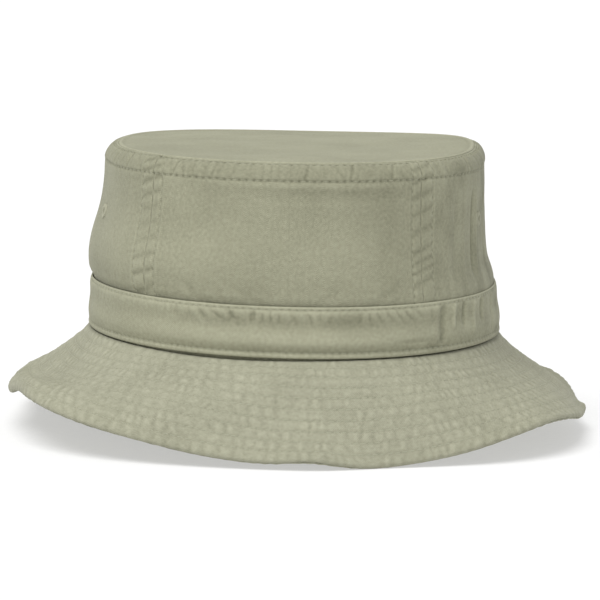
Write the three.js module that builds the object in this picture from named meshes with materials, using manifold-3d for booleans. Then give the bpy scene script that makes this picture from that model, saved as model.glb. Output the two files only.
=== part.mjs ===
// Bucket hat in washed cotton twill, sewn from flat-cut pieces. Millimetres, +Z up, the front faces -Y.
//
// Every cloth piece is a thin shell between two depths below one of two surfaces: the crown wall, which
// runs from the top seam down to the brim seam, and the brim, which runs from that seam out to its edge.
// A bearing is measured round the head in degrees: 0 is the front (-Y), 90 the wearer's left (+X).
// Heights are measured from the brim seam, and the finished group is moved so that its base is at z = 0.
import * as THREE from "three";
import { mergeVertices } from "three/addons/utils/BufferGeometryUtils.js";
import Module from "manifold-3d";

const wasm = await Module();
wasm.setup();

// Head oval: half widths across the head (X); the half length (Y) is OVAL_RATIO times as much.
const OVAL_RATIO = 1.14;
const TOP_HALF_WIDTH = 75.7;
const SHOULDER_HALF_WIDTH = 81.2;
const SEAM_HALF_WIDTH = 86.6;
const TOP_SQUARENESS = 2.4;
const SEAM_SQUARENESS = 2.15;

// Crown heights above the brim seam.
const TOP_HEIGHT = 78;
const SHOULDER_HEIGHT = 71;
const SEAM_SIDE_RISE = 1.1;
const SEAM_TILT = 0.6;

// Brim: it starts just under the band and is BRIM_WIDTH from seam to edge, measured along the cloth.
// Its slope below the horizontal is given at the root, half way out and at the edge: a mean in degrees,
// and waves as [times round the brim, degrees, bearing of a crest].
const BRIM_WIDTH = 51;
const BRIM_ROOT_HALF_WIDTH = 87.1;
const BRIM_ROOT_DROP = 1;
const BRIM_SLOPES = {
  root: { mean: 39, waves: [[2, 17, 90]] },
  middle: { mean: 38, waves: [[2, 10, 6], [3, 2, 30], [4, 9, 8]] },
  edge: { mean: 45, waves: [[1, 3, 90], [2, 7, 37], [4, 9, -7], [5, 3, -18], [6, 19, -27]] },
};
const BRIM_STEPS = 36;
// Local turns of the soft brim: { bearing, spread in degrees, share of the way out, its spread, degrees }.
const BRIM_TURNS = [
  { bearing: -87, spread: 17, share: 0.98, reach: 0.13, degrees: 95 },
  { bearing: -62, spread: 15, share: 0.98, reach: 0.15, degrees: 95 },
  { bearing: -85, spread: 17, share: 0.72, reach: 0.15, degrees: -26 },
  { bearing: -60, spread: 15, share: 0.72, reach: 0.16, degrees: -38 },
  { bearing: -15, spread: 10, share: 0.8, reach: 0.2, degrees: 3 },
  { bearing: 7, spread: 8, share: 0.8, reach: 0.2, degrees: -12 },
  { bearing: 25, spread: 10, share: 0.9, reach: 0.2, degrees: 10 },
  { bearing: 50, spread: 14, share: 0.9, reach: 0.2, degrees: -15 },
  { bearing: 70, spread: 12, share: 0.75, reach: 0.2, degrees: 5 },
  { bearing: 91, spread: 8, share: 1, reach: 0.1, degrees: -54 },
];
// Where the brim's edge is curled under, its cloth is gathered a little and reaches less far out.
const BRIM_TAKE_UP = { bearing: -72, spread: 18, share: 0.07 };
const INTERLINING_SHARE = 0.94;

// Cloth: the thickness of each ply and the clearance kept between two pieces that touch.
const PLY = 0.7;
const INTERLINING_PLY = 0.6;
const TAPE_PLY = 0.5;
const SWEATBAND_PLY = 1.0;
const HAT_BAND_PLY = 1.0;
const LABEL_PLY = 0.4;
const GAP = 0.35;
const SEAM_GAP_DEGREES = 0.15;

// Panels and bands, as bearings and as heights above the brim seam.
const PANEL_SEAMS = [-40, 40, 140, 220];
const PANEL_NAMES = ["crown_front_panel", "crown_left_panel", "crown_back_panel", "crown_right_panel"];
const BRIM_SEAMS = [-90, 90];
const BAND_HEIGHT = 20.5;
const SWEATBAND_HEIGHT = 30;
const TAPE_HALF_WIDTH_DEGREES = 4.2;
const TOP_TAPE_LOW = 66;
const SEAM_TAPE_HIGH = 63;

// Sewn eyelets for air, two in each side panel.
const EYELET_BEARINGS = [70, 110, 250, 293];
const EYELET_HEIGHT = 50.5;
const EYELET_OPEN_RADIUS = 1.1;
const EYELET_CUT_RADIUS = 2.2;
const EYELET_RIM_RADIUS = 3.1;
const EYELET_RIM_THICKNESS = 0.6;

const LABEL_HALF_WIDTH_DEGREES = 8;
const LABEL_LOW = 6;
const LABEL_HIGH = 22;

// Facets: columns round the whole head, and rows along each kind of surface.
const COLUMNS = 48;
const BRIM_ROWS = 9;
const WALL_ROWS = 6;
const SHOULDER_ROWS = 3;

const CLOTH_COLOUR = 0xb0b099;
const UNDER_CLOTH_COLOUR = 0xa5a58c;
const TAPE_COLOUR = 0x9a9a80;
const INTERLINING_COLOUR = 0xe4e2d8;
const LABEL_COLOUR = 0xf0efe8;
const THREAD_COLOUR = 0xb9b99f;

const radians = THREE.MathUtils.degToRad;
const lerp = THREE.MathUtils.lerp;

// A point of the head oval of half width a: a superellipse, squarer for a larger exponent.
function ovalPoint(bearing, a, squareness) {
  const s = Math.sin(radians(bearing));
  const c = Math.cos(radians(bearing));
  const reach = a * (Math.abs(s) ** squareness + Math.abs(c) ** squareness) ** (-1 / squareness);
  return new THREE.Vector2(reach * s, -reach * c * OVAL_RATIO);
}

// Height of the brim seam: a little higher at the sides, and on the right than on the left.
function seamHeight(bearing) {
  return -SEAM_SIDE_RISE * Math.cos(radians(2 * bearing)) - SEAM_TILT * Math.sin(radians(bearing));
}

// The crown wall at a nominal height: a rounded shoulder at the top, then a wall that flares downwards.
function crownPoint(bearing, height) {
  const down = THREE.MathUtils.clamp((SHOULDER_HEIGHT - height) / SHOULDER_HEIGHT, 0, 1);
  let halfWidth = lerp(SHOULDER_HALF_WIDTH, SEAM_HALF_WIDTH, Math.sin((Math.PI / 2) * down) ** 1.5);
  if (height > SHOULDER_HEIGHT) {
    const up = (height - SHOULDER_HEIGHT) / (TOP_HEIGHT - SHOULDER_HEIGHT);
    halfWidth = lerp(TOP_HALF_WIDTH, SHOULDER_HALF_WIDTH, Math.sqrt(1 - up * up));
  }
  const plan = ovalPoint(bearing, halfWidth, lerp(TOP_SQUARENESS, SEAM_SQUARENESS, down));
  return new THREE.Vector3(plan.x, plan.y, height + down * seamHeight(bearing));
}

function slopeAt(station, bearing) {
  const wave = ([times, degrees, crest]) => degrees * Math.cos(radians(times * (bearing - crest)));
  return station.mean + station.waves.reduce((sum, entry) => sum + wave(entry), 0);
}

// How far a bearing is from the middle of a place on the brim, as a share of that place's spread.
function awayFrom(place, bearing) {
  return (THREE.MathUtils.euclideanModulo(bearing - place.bearing + 180, 360) - 180) / place.spread;
}

// Degrees that the local turns add to the slope at a bearing and a share of the way out.
function turnsAt(bearing, share) {
  return BRIM_TURNS.reduce((sum, turn) => {
    const nearness = awayFrom(turn, bearing) ** 2 + ((share - turn.share) / turn.reach) ** 2;
    return sum + turn.degrees * Math.exp(-nearness);
  }, 0);
}

// The upper face of the brim at a share of its width, found by walking out along its changing slope.
function brimPoint(bearing, share) {
  const gathered = BRIM_TAKE_UP.share * Math.exp(-(awayFrom(BRIM_TAKE_UP, bearing) ** 2));
  const root = ovalPoint(bearing, BRIM_ROOT_HALF_WIDTH, SEAM_SQUARENESS);
  const ahead = ovalPoint(bearing + 0.01, BRIM_ROOT_HALF_WIDTH, SEAM_SQUARENESS);
  const outward = new THREE.Vector2(ahead.y - root.y, root.x - ahead.x).normalize();
  const slopes = [BRIM_SLOPES.root, BRIM_SLOPES.middle, BRIM_SLOPES.edge];
  const [rootSlope, middleSlope, edgeSlope] = slopes.map((station) => slopeAt(station, bearing));
  const step = (share * (1 - gathered)) / BRIM_STEPS;
  let out = 0;
  let drop = BRIM_ROOT_DROP;
  for (let i = 0; i < BRIM_STEPS; i += 1) {
    const u = step * (i + 0.5);
    const even = rootSlope * (1 - u) * (1 - 2 * u) + middleSlope * 4 * u * (1 - u) + edgeSlope * u * (2 * u - 1);
    const bend = radians(even + turnsAt(bearing, u));
    out += Math.cos(bend) * step * BRIM_WIDTH;
    drop += Math.sin(bend) * step * BRIM_WIDTH;
  }
  const z = seamHeight(bearing) - drop;
  return new THREE.Vector3(root.x + outward.x * out, root.y + outward.y * out, z);
}

// The surface's outward normal, from its slopes round the head and along the piece.
function surfaceNormal(surface, bearing, along, downSign) {
  const step = 0.002;
  const low = along - step * 10;
  const across = surface(bearing + step, along).sub(surface(bearing - step, along));
  const down = surface(bearing, along).sub(surface(bearing, low)).multiplyScalar(downSign);
  return new THREE.Vector3().crossVectors(down, across).normalize();
}

const crownWall = {
  at: (bearing, height) => crownPoint(bearing, height),
  normal: (bearing, height) => surfaceNormal(crownPoint, bearing, height, -1),
};
const brimTop = {
  at: (bearing, share) => brimPoint(bearing, share),
  normal: (bearing, share) => surfaceNormal(brimPoint, bearing, share, 1),
};

function buildGeometry(points, triangles) {
  const geometry = new THREE.BufferGeometry();
  const flat = points.flatMap((point) => [point.x, point.y, point.z]);
  geometry.setAttribute("position", new THREE.Float32BufferAttribute(flat, 3));
  geometry.setIndex(triangles.flat());
  geometry.computeVertexNormals();
  return geometry;
}

// A closed sheet of cloth between two depths under a surface, as outer and inner grids joined at the rim.
// Bearings run anticlockwise seen from above, and stations run from the top or root towards the edge.
function clothShell(surface, bearings, stations, outerDepth, innerDepth) {
  const ring = bearings.at(-1) - bearings[0] >= 360;
  const columns = ring ? bearings.slice(0, -1) : bearings;
  const points = [];
  for (const depth of [outerDepth, innerDepth]) {
    for (const station of stations) {
      for (const bearing of columns) {
        const normal = surface.normal(bearing, station);
        points.push(surface.at(bearing, station).addScaledVector(normal, -depth));
      }
    }
  }
  const wide = columns.length;
  const tall = stations.length;
  const vertex = (side, row, column) => (side * tall + row) * wide + (column % wide);
  const triangles = [];
  const quad = (a, b, c, d) => triangles.push([a, b, c], [a, c, d]);
  const lastColumn = ring ? wide : wide - 1;
  for (let j = 0; j < lastColumn; j += 1) {
    for (let i = 0; i < tall - 1; i += 1) {
      quad(vertex(0, i, j), vertex(0, i + 1, j), vertex(0, i + 1, j + 1), vertex(0, i, j + 1));
      quad(vertex(1, i, j), vertex(1, i, j + 1), vertex(1, i + 1, j + 1), vertex(1, i + 1, j));
    }
    quad(vertex(0, 0, j), vertex(0, 0, j + 1), vertex(1, 0, j + 1), vertex(1, 0, j));
    quad(vertex(0, tall - 1, j + 1), vertex(0, tall - 1, j), vertex(1, tall - 1, j), vertex(1, tall - 1, j + 1));
  }
  if (!ring) {
    const end = wide - 1;
    for (let i = 0; i < tall - 1; i += 1) {
      quad(vertex(0, i + 1, 0), vertex(0, i, 0), vertex(1, i, 0), vertex(1, i + 1, 0));
      quad(vertex(0, i, end), vertex(0, i + 1, end), vertex(1, i + 1, end), vertex(1, i, end));
    }
  }
  return buildGeometry(points, triangles);
}

function spread(from, to, steps) {
  return Array.from({ length: steps + 1 }, (_, i) => lerp(from, to, i / steps));
}

// Bearings of a piece's columns, at about the same spacing all round.
function bearingsBetween(from, to) {
  const steps = Math.max(2, Math.round(((to - from) * COLUMNS) / 360));
  return spread(from, to, steps);
}

const FULL_RING = spread(0, 360, COLUMNS);
const SHOULDER_STATIONS = spread(TOP_HEIGHT, SHOULDER_HEIGHT, SHOULDER_ROWS).slice(0, -1);
const BRIM_STATIONS = [...spread(0, INTERLINING_SHARE, BRIM_ROWS), 1];

function mesh(name, geometry, colour) {
  const material = new THREE.MeshStandardMaterial({ color: colour, roughness: 0.92, metalness: 0 });
  const piece = new THREE.Mesh(geometry, material);
  piece.name = name;
  return piece;
}

function toSolid(geometry) {
  const bare = new THREE.BufferGeometry();
  bare.setAttribute("position", geometry.getAttribute("position"));
  bare.setIndex(geometry.getIndex());
  const merged = mergeVertices(bare, 1e-4);
  const vertProperties = Float32Array.from(merged.getAttribute("position").array);
  const triVerts = Uint32Array.from(merged.getIndex().array);
  return new wasm.Manifold(new wasm.Mesh({ numProp: 3, vertProperties, triVerts }));
}

function fromSolid(solid) {
  const result = solid.getMesh();
  const geometry = new THREE.BufferGeometry();
  geometry.setAttribute("position", new THREE.BufferAttribute(result.vertProperties, 3));
  geometry.setIndex(new THREE.BufferAttribute(result.triVerts, 1));
  geometry.computeVertexNormals();
  return geometry;
}

// Turns a shape made along +Y to point out of the wall at an eyelet.
function placeAtEyelet(geometry, bearing) {
  const outward = crownWall.normal(bearing, EYELET_HEIGHT);
  const turn = new THREE.Quaternion().setFromUnitVectors(new THREE.Vector3(0, 1, 0), outward);
  const centre = crownWall.at(bearing, EYELET_HEIGHT);
  return geometry.applyMatrix4(new THREE.Matrix4().compose(centre, turn, new THREE.Vector3(1, 1, 1)));
}

// The flat oval panel that closes the crown.
function crownTopPanel() {
  const outline = new THREE.Shape();
  const rim = FULL_RING.slice(0, -1).map((bearing) => ovalPoint(bearing, TOP_HALF_WIDTH - GAP, TOP_SQUARENESS));
  outline.setFromPoints(rim);
  const geometry = new THREE.ExtrudeGeometry(outline, { depth: PLY, bevelEnabled: false });
  geometry.translate(0, 0, TOP_HEIGHT - PLY);
  return mesh("crown_top_panel", geometry, CLOTH_COLOUR);
}

// Four side panels meet in seams; the two at the ears are cut for the eyelets.
function crownSidePanels() {
  const stations = [...SHOULDER_STATIONS, ...spread(SHOULDER_HEIGHT, 0, WALL_ROWS)];
  return PANEL_NAMES.map((name, i) => {
    const from = PANEL_SEAMS[i] + SEAM_GAP_DEGREES;
    const to = (PANEL_SEAMS[i + 1] ?? PANEL_SEAMS[0] + 360) - SEAM_GAP_DEGREES;
    const geometry = clothShell(crownWall, bearingsBetween(from, to), stations, 0, PLY);
    const cuts = EYELET_BEARINGS.filter((bearing) => bearing > from && bearing < to);
    if (cuts.length === 0) {
      return mesh(name, geometry, CLOTH_COLOUR);
    }
    let solid = toSolid(geometry);
    for (const bearing of cuts) {
      const drill = new THREE.CylinderGeometry(EYELET_CUT_RADIUS, EYELET_CUT_RADIUS, 12, 16);
      solid = solid.subtract(toSolid(placeAtEyelet(drill, bearing)));
    }
    return mesh(name, fromSolid(solid), CLOTH_COLOUR);
  });
}

// An overcast thread ring that grips both faces of the panel round its hole.
function eyelet(bearing, index) {
  const barrel = EYELET_CUT_RADIUS - GAP;
  const inside = -PLY - GAP;
  const profile = [
    [EYELET_OPEN_RADIUS, inside - EYELET_RIM_THICKNESS],
    [EYELET_RIM_RADIUS, inside - EYELET_RIM_THICKNESS],
    [EYELET_RIM_RADIUS, inside],
    [barrel, inside],
    [barrel, GAP],
    [EYELET_RIM_RADIUS, GAP],
    [EYELET_RIM_RADIUS, GAP + EYELET_RIM_THICKNESS],
    [EYELET_OPEN_RADIUS, GAP + EYELET_RIM_THICKNESS],
    [EYELET_OPEN_RADIUS, inside - EYELET_RIM_THICKNESS],
  ].map(([radius, along]) => new THREE.Vector2(radius, along));
  const ring = new THREE.LatheGeometry(profile, 14);
  return mesh(`eyelet_${index + 1}`, placeAtEyelet(ring, bearing), THREAD_COLOUR);
}

// The folded strip of the same cloth round the outside of the crown, above the brim.
function hatBand() {
  const outer = -GAP - HAT_BAND_PLY;
  const stations = spread(BAND_HEIGHT, 0, 2);
  return mesh("hat_band", clothShell(crownWall, FULL_RING, stations, outer, -GAP), CLOTH_COLOUR);
}

// Twill tape sewn over the raw edges inside: four down the panel seams, one round the top seam.
function seamTapes() {
  const depth = PLY + GAP;
  const names = ["front_right", "front_left", "back_left", "back_right"];
  const upright = PANEL_SEAMS.map((seam, i) => {
    const edges = spread(seam - TAPE_HALF_WIDTH_DEGREES, seam + TAPE_HALF_WIDTH_DEGREES, 2);
    const strip = clothShell(crownWall, edges, spread(SEAM_TAPE_HIGH, 2, WALL_ROWS), depth, depth + TAPE_PLY);
    return mesh(`seam_tape_${names[i]}`, strip, TAPE_COLOUR);
  });
  const heights = [...SHOULDER_STATIONS.slice(1), SHOULDER_HEIGHT, TOP_TAPE_LOW];
  const round = clothShell(crownWall, FULL_RING, heights, depth, depth + TAPE_PLY);
  return [...upright, mesh("seam_tape_top", round, TAPE_COLOUR)];
}

// The strip that touches the forehead, inside the seam tapes, and the blank label sewn to it at the back.
function sweatbandAndLabel() {
  const depth = PLY + GAP + TAPE_PLY + GAP;
  const band = clothShell(crownWall, FULL_RING, spread(SWEATBAND_HEIGHT, 0, 2), depth, depth + SWEATBAND_PLY);
  const labelDepth = depth + SWEATBAND_PLY + GAP;
  const edges = bearingsBetween(180 - LABEL_HALF_WIDTH_DEGREES, 180 + LABEL_HALF_WIDTH_DEGREES);
  const label = clothShell(crownWall, edges, [LABEL_HIGH, LABEL_LOW], labelDepth, labelDepth + LABEL_PLY);
  return [mesh("sweatband", band, TAPE_COLOUR), mesh("size_label", label, LABEL_COLOUR)];
}

// The brim is two half rings joined at the sides, each an upper ply, an interlining and an under ply.
function brimPlies() {
  const inner = BRIM_STATIONS.slice(0, -1);
  const underDepth = PLY + INTERLINING_PLY + 2 * GAP;
  const layers = [
    { name: "brim_upper", depth: 0, ply: PLY, stations: BRIM_STATIONS, colour: CLOTH_COLOUR },
    { name: "brim_interlining", depth: PLY + GAP, ply: INTERLINING_PLY, stations: inner, colour: INTERLINING_COLOUR },
    { name: "brim_under", depth: underDepth, ply: PLY, stations: BRIM_STATIONS, colour: UNDER_CLOTH_COLOUR },
  ];
  const halves = { front: BRIM_SEAMS, back: [BRIM_SEAMS[1], BRIM_SEAMS[0] + 360] };
  return layers.flatMap(({ name, depth, ply, stations, colour }) =>
    Object.entries(halves).map(([half, [start, end]]) => {
      const bearings = bearingsBetween(start + SEAM_GAP_DEGREES, end - SEAM_GAP_DEGREES);
      const geometry = clothShell(brimTop, bearings, stations, depth, depth + ply);
      return mesh(`${name}_${half}`, geometry, colour);
    }),
  );
}

// Moves the hat so that its box stands centred on the origin, with its lowest edge at z = 0.
function standOnOrigin(group) {
  const box = new THREE.Box3().setFromObject(group, true);
  const centre = box.getCenter(new THREE.Vector3());
  group.position.set(-centre.x, -centre.y, -box.min.z);
  return group;
}

const hat = new THREE.Group();
hat.name = "bucket_hat";
hat.add(crownTopPanel(), ...crownSidePanels(), hatBand());
hat.add(...EYELET_BEARINGS.map(eyelet), ...seamTapes(), ...sweatbandAndLabel(), ...brimPlies());

export default standOnOrigin(hat);
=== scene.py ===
import math

import bmesh
import bpy
import numpy as np
from mathutils import Matrix, Vector


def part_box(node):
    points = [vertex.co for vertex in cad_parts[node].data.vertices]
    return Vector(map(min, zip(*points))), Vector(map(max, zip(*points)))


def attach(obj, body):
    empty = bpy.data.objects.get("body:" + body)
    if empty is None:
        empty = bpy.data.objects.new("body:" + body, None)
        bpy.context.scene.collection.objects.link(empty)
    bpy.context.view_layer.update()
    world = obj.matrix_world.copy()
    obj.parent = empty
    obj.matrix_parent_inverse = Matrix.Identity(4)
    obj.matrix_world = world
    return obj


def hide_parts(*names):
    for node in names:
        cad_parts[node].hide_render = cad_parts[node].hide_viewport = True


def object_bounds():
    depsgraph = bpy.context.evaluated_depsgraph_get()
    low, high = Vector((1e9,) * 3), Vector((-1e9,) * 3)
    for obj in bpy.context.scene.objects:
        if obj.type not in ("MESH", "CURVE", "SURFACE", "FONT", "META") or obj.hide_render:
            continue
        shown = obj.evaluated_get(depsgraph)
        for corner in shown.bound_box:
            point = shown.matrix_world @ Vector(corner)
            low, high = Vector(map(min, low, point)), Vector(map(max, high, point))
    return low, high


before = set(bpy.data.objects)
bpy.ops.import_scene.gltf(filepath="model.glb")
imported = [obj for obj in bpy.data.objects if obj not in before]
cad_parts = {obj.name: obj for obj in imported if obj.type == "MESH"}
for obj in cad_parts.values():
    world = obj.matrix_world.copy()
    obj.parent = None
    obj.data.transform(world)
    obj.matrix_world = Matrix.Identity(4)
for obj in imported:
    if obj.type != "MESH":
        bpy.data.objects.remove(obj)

cad_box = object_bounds()

# Sizes are in millimetres, in the hat's own axes: +Z up, -Y the front, z = 0 at the brim seam. A bearing
# is measured round the head in degrees: 0 is the front, 90 is +X, the wearer's left.
MM = 0.001
OVAL_RATIO = 1.14
TOP_HALF_WIDTH = 75.7
SHOULDER_HALF_WIDTH = 81.2
SEAM_HALF_WIDTH = 86.6
TOP_SQUARENESS = 2.4
SEAM_SQUARENESS = 2.15
TOP_HEIGHT = 78.0
SHOULDER_HEIGHT = 71.0
SHOULDER_ROUNDNESS = 1.8
TOP_SIDE_RISE = 0.8
# The top also rises a little at the rear on the wearer's left: a bearing, a width and a height.
TOP_REAR_RISE = (115, 30, 1.2)
SEAM_SIDE_RISE = 1.1
SEAM_TILT = 0.6
WALL_END = -3.2
BAND_HEIGHT = 20.5

BRIM_WIDTH = 51.0
BRIM_ROOT_HALF_WIDTH = 87.1
BRIM_ROOT_DROP = 1.0
# The brim's slope below the horizontal: a mean, and waves as (times round, degrees, bearing of a crest).
BRIM_SLOPES = {
    "root": (39, [(2, 17, 90)]),
    "middle": (38, [(2, 10, 6), (3, 2, 30), (4, 9, 8)]),
    "edge": (45, [(1, 3, 90), (2, 7, 37), (4, 9, -7), (5, 3, -18), (6, 19, -27)]),
}
# Local turns of the soft brim, as (bearing, width, share of the way out, width, degrees of slope).
BRIM_TURNS = [
    (-87, 17, 0.98, 0.13, 95),
    (-62, 15, 0.98, 0.15, 95),
    (-85, 17, 0.72, 0.15, -26),
    (-60, 15, 0.72, 0.16, -38),
    (-15, 10, 0.80, 0.20, 3),
    (7, 8, 0.80, 0.20, -12),
    (25, 10, 0.90, 0.20, 10),
    (50, 14, 0.90, 0.20, -15),
    (70, 12, 0.75, 0.20, 5),
    (91, 8, 1.00, 0.10, -54),
]
# Where the edge is curled under, the cloth is gathered a little: a bearing, a width and a share.
BRIM_TAKE_UP = (-72, 18, 0.07)
BRIM_EDGE_RADIUS = 1.3

# Cloth: thicknesses, and depths of each piece's outer face under the surface it follows. The band stands
# out from the wall instead. The interlining takes up a share of the brim's width.
PLY = 0.6
BAND_PLY = 0.5
INTERLINING_PLY = 0.55
TAPE_PLY = 0.45
SWEATBAND_PLY = 0.7
LABEL_PLY = 0.35
INTERLINING_DEPTH = 1.05
INTERLINING_SHARE = 0.93
UNDER_BRIM_DEPTH = 2.7
BAND_STAND = 1.35
TAPE_DEPTH = 1.05
SWEATBAND_DEPTH = 1.9
SWEATBAND_HEIGHT = 30.0
LABEL_DEPTH = 3.25

# Bearings of the seams at each panel's sides, and how far inside them its topstitching runs.
PANELS = {
    "crown_front_panel": (-40, 40, 4.8),
    "crown_left_panel": (40, 140, 6.8),
    "crown_back_panel": (140, 220, 4.8),
    "crown_right_panel": (220, 320, 6.8),
}
BRIM_HALVES = {"front": (-90, 90), "back": (90, 270)}
TAPE_BEARINGS = {"front_right": -40, "front_left": 40, "back_left": 140, "back_right": 220}
TAPE_HALF_WIDTH_DEGREES = 4.2
# Strips that go all round are joined at the back, between these bearings.
ROUND_START, ROUND_END = 180.02, 539.98
EYELET_BEARINGS = [70, 110, 250, 293]
EYELET_HEIGHT = 50.5
EYELET_OPEN_RADIUS = 1.1
EYELET_CUT_RADIUS = 2.2
EYELET_RIM_RADIUS = 3.1

# Topstitching, as distances along the cloth: from the top seam, from the band's upper edge, and from
# the brim's root. The depths say how far the rows pull the cloth in.
TOP_ROWS = [2.0, 10.2]
TOP_ROW_DEPTHS = [0.75, 0.5]
SEAM_ROW_DEPTH = 0.24
BAND_ROWS = [1.3, BAND_HEIGHT - 1.8]
BAND_ROW_DEPTH = 0.3
BRIM_ROWS = [0.3 + 5.05 * i for i in range(1, 10)]
STITCH_PITCH = 3.1
STITCH_LENGTH = 2.5
THREAD_RADIUS = 0.2

# Folds pressed into the cloth. Every entry starts with a bearing. Then come, on the wall, a depth and a
# width; just above the band, a lean and a depth; on the band, a depth, a width and how far down it goes.
TOP_CREASES = [-52, -33, -21, 6, 19, 31, 61, 78, 118, 160, 201, 243, 299]
WALL_FOLDS = [(64.5, 1.1, 1.9), (67.5, -0.5, 1.2), (54, 0.5, 3), (59, -0.3, 2.2), (78, 0.6, 2)]
WALL_FOOT_FOLDS = [(-24, 1.3, 0.28), (-9, 1.7, 0.22), (12, -1.4, 0.2), (28, -1.5, 0.25)]
BAND_FOLDS = [
    (46.5, 1.2, 2.1, 19), (50.5, -0.8, 1.4, 13), (55, 1.0, 1.4, 13), (60, -0.6, 1.8, 17),
    (65, 0.9, 1.6, 13), (74, 0.6, 2.2, 19), (-78, 0.4, 2.0, 19), (-30, 0.45, 1.2, 8),
    (-14, 0.55, 1.2, 9), (-8, 0.85, 1.3, 9), (-22, 0.4, 1.5, 8), (21, 0.4, 1.1, 9),
    (128, 0.5, 1.4, 15), (231, 0.5, 1.5, 14),
]
# The band's section in front, as (distance down from its upper edge, how far it stands out).
BAND_PROFILE = [
    (0, -0.7), (0.6, -0.25), (1.3, -0.3), (2, 0.05), (3, 0.05), (4.2, -0.15), (5.6, -0.4), (7.2, -0.6),
    (8.6, -0.6), (10.5, -0.25), (12.5, 0.15), (14.2, 0.35), (15.6, 0.25), (17.2, -0.2), (18.7, -0.5),
    (19.6, -0.15), (BAND_HEIGHT, -0.1),
]

# Spacing of the rows and of the columns of the fine grids, and the number of rows in a rolled edge.
WALL_GRID = (0.85, 0.62)
BAND_GRID = (0.8, 0.6)
BRIM_GRID = (0.95, 0.55)
ROLL_STEPS = 4
BRIM_ROLL_STEPS = 5

tip_low, tip_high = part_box("crown_top_panel")
ORIGIN = np.array([
    (tip_low[0] + tip_high[0]) / 2 / MM,
    (tip_low[1] + tip_high[1]) / 2 / MM,
    tip_high[2] / MM - TOP_HEIGHT,
])


# ------------------------ numbers

def smoothstep(low, high, x):
    t = np.clip((x - low) / (high - low), 0, 1)
    return t * t * (3 - 2 * t)


def bump(x, centre, width):
    return np.exp(-(((x - centre) / width) ** 2))


def noise(x, y, cells, seed):
    """Smooth noise from -1 to 1, one cell to a unit. It repeats in x after a whole number of cells."""
    table = np.random.default_rng(seed).uniform(-1, 1, (64, cells))
    column, row = np.floor(x).astype(int), np.floor(y).astype(int)
    fx, fy = x - column, y - row
    bx, by = fx * fx * (3 - 2 * fx), fy * fy * (3 - 2 * fy)
    left, right = column % cells, (column + 1) % cells
    low, high = (table[i % 64, left] * (1 - bx) + table[i % 64, right] * bx for i in (row, row + 1))
    return low * (1 - by) + high * by


def crumple(girth, distance, size, seed):
    """Unevenness of one size, over cloth that goes round the hat. Each seed gives its own pattern."""
    cells = round(GIRTH / size)
    return noise(girth / GIRTH * cells, distance / size, cells, seed)


def puckers(girth, y, period, seed, softness=0.8):
    """Rounded puckers, about a period apart and uneven in size. The softer, the wider the dips."""
    cells = round(GIRTH / period)
    wide = cells // 2
    place = girth / GIRTH
    phase = place * cells + 0.8 * noise(place * wide, y, wide, seed)
    strength = 0.6 + 0.4 * noise(place * wide, y, wide, seed + 1)
    return strength * ((1 + 0.87 * softness) * np.abs(np.sin(np.pi * phase)) ** softness - 1)


def grid(rows, columns):
    """At every point of a grid, the value of its row, and the value of its column."""
    return np.meshgrid(rows, columns, indexing="ij")


def blurred(values, times):
    for _ in range(times):
        wide = np.pad(values, 1, mode="edge")
        sides = wide[:-2, 1:-1] + wide[2:, 1:-1] + wide[1:-1, :-2] + wide[1:-1, 2:]
        values = (sides + 4 * values) / 8
    return values


# ------------------------ the hat's two surfaces

def degrees_from(bearing, bearings):
    """How far bearings are from one bearing, the shorter way: -180 to 180."""
    return (bearings - bearing + 180) % 360 - 180


def oval(bearing, half_width, squareness):
    s, c = np.sin(np.radians(bearing)), np.cos(np.radians(bearing))
    reach = half_width * (np.abs(s) ** squareness + np.abs(c) ** squareness) ** (-1 / squareness)
    return reach * s, -reach * c * OVAL_RATIO


ROUND_BEARINGS = np.linspace(0, 360, 7201)
ROUND_X, ROUND_Y = oval(ROUND_BEARINGS, SEAM_HALF_WIDTH, SEAM_SQUARENESS)
ROUND_GIRTHS = np.concatenate([[0], np.cumsum(np.hypot(np.diff(ROUND_X), np.diff(ROUND_Y)))])
GIRTH = ROUND_GIRTHS[-1]


def girth_at(bearing):
    """Distance round the brim seam from the front."""
    turns = np.floor(bearing / 360)
    return turns * GIRTH + np.interp(bearing - 360 * turns, ROUND_BEARINGS, ROUND_GIRTHS)


def bearing_at(girth):
    turns = np.floor(girth / GIRTH)
    return 360 * turns + np.interp(girth - GIRTH * turns, ROUND_GIRTHS, ROUND_BEARINGS)


def seam_height(bearing):
    return -SEAM_SIDE_RISE * np.cos(np.radians(2 * bearing)) - SEAM_TILT * np.sin(np.radians(bearing))


def top_rise(bearing):
    centre, width, height = TOP_REAR_RISE
    rear = height * bump(degrees_from(centre, bearing), 0, width)
    return rear - TOP_SIDE_RISE * np.cos(np.radians(2 * bearing))


def wall_surface(bearing, height):
    """The crown wall: a rounded shoulder under the top seam, and a wall that flares downwards."""
    down = np.clip((SHOULDER_HEIGHT - height) / SHOULDER_HEIGHT, 0, 1.1)
    flare = np.sin(math.pi / 2 * np.minimum(down, 1)) ** 1.5
    half = SHOULDER_HALF_WIDTH + (SEAM_HALF_WIDTH - SHOULDER_HALF_WIDTH) * flare
    up = np.clip((height - SHOULDER_HEIGHT) / (TOP_HEIGHT - SHOULDER_HEIGHT), 0, 1)
    rounded = (1 - up ** SHOULDER_ROUNDNESS) ** (1 / SHOULDER_ROUNDNESS)
    half = np.where(up > 0, TOP_HALF_WIDTH + (SHOULDER_HALF_WIDTH - TOP_HALF_WIDTH) * rounded, half)
    x, y = oval(bearing, half, TOP_SQUARENESS + (SEAM_SQUARENESS - TOP_SQUARENESS) * down)
    z = height + down * seam_height(bearing) + (1 - down) * top_rise(bearing)
    return np.stack([x, y, z], -1)


def wall_points(bearings, heights):
    height, bearing = grid(heights, bearings)
    return wall_surface(bearing, height)


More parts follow.
